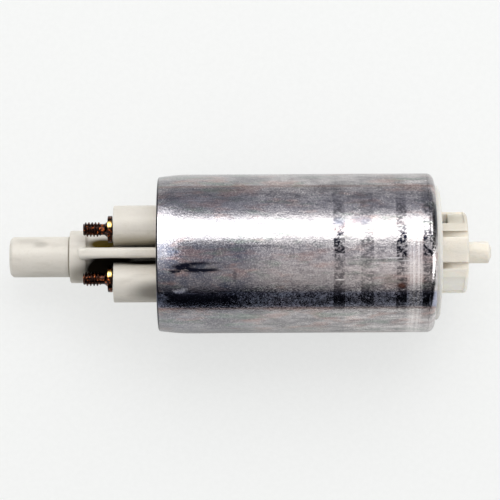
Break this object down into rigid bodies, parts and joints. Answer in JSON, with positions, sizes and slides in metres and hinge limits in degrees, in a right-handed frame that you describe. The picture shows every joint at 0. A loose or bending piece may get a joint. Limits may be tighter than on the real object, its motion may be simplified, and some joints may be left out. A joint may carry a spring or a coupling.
{
  "type": "in-tank fuel pump",
  "caption": "In-tank electric fuel pump: rolled metal can with an offset hose nipple and threaded terminals at the outlet end, and a ribbed inlet drum with a central pin at the other.",
  "frame": {"origin": "centre of the pump's box, which lies on the can's axis", "axes": "+X along the pump's axis towards the inlet pin, +Y across both terminals towards the positive one, +Z away from the hose nipple's side, towards the picture's camera"},
  "size_m": [0.1156, 0.038, 0.038],
  "materials": {
    "plated_steel": "dull zinc plate, mottled and handled",
    "white_acetal": "moulded, satin",
    "cream_acetal": "moulded, satin",
    "black_rubber": "smooth",
    "brass": "turned, darkened",
    "carbon": "pressed",
    "spring_steel": "drawn wire",
    "copper": "bare or enamelled",
    "sintered_bronze": "sintered",
    "shaft_steel": "ground",
    "core_steel": "pressed sheet",
    "ferrite": "sintered",
    "cast_aluminium": "die cast, faces machined",
    "phenolic": "moulded"
  },
  "bodies": {
    "housing": {"casing_can": "plated_steel", "outlet_cap": "white_acetal", "inlet_cover": "cream_acetal", "cap_seal_ring": "black_rubber", "cover_seal_ring": "black_rubber", "terminal_stud_positive": "brass", "terminal_stud_negative": "brass", "brush_spring_positive": "spring_steel", "brush_spring_negative": "spring_steel", "brush_lead_positive": "copper", "brush_lead_negative": "copper", "check_valve_cage": "cream_acetal", "check_valve_spring": "spring_steel", "relief_valve_plug": "brass", "relief_valve_spring": "spring_steel", "outlet_bearing_bush": "sintered_bronze", "inlet_bearing_bush": "sintered_bronze", "thrust_washer": "cream_acetal", "flux_ring": "core_steel", "magnet_north": "ferrite", "magnet_south": "ferrite", "magnet_clip_1": "spring_steel", "magnet_clip_2": "spring_steel", "pump_body": "cast_aluminium"},
    "armature": {"armature_shaft": "shaft_steel", "armature_core": "core_steel", "armature_winding": "copper", "commutator": "copper", "impeller": "phenolic"},
    "positive_brush": {"brush_positive": "carbon"},
    "negative_brush": {"brush_negative": "carbon"},
    "check_valve": {"check_valve_poppet": "black_rubber"},
    "relief_valve": {"relief_valve_ball": "spring_steel"}
  },
  "joints": [
    {"name": "armature_spin", "type": "hinge", "parent": "housing", "child": "armature", "pos_m": [0, 0, 0], "axis": [1, 0, 0], "continuous": true},
    {"name": "positive_brush_slide", "type": "slide", "parent": "housing", "child": "positive_brush", "axis": [-1, 0, 0], "range_m": [0, 0.003], "stiffness_N_per_m": 150, "springref_m": -0.004, "deforming": ["brush_spring_positive", "brush_lead_positive"]},
    {"name": "negative_brush_slide", "type": "slide", "parent": "housing", "child": "negative_brush", "axis": [-1, 0, 0], "range_m": [0, 0.003], "stiffness_N_per_m": 150, "springref_m": -0.004, "deforming": ["brush_spring_negative", "brush_lead_negative"]},
    {"name": "check_valve_slide", "type": "slide", "parent": "housing", "child": "check_valve", "axis": [-1, 0, 0], "range_m": [0, 0.0016], "stiffness_N_per_m": 60, "springref_m": -0.003, "deforming": ["check_valve_spring"]},
    {"name": "relief_valve_slide", "type": "slide", "parent": "housing", "child": "relief_valve", "axis": [-1, 0, 0], "range_m": [0, 0.0008], "stiffness_N_per_m": 300, "springref_m": -0.004, "deforming": ["relief_valve_spring"]}
  ]
}
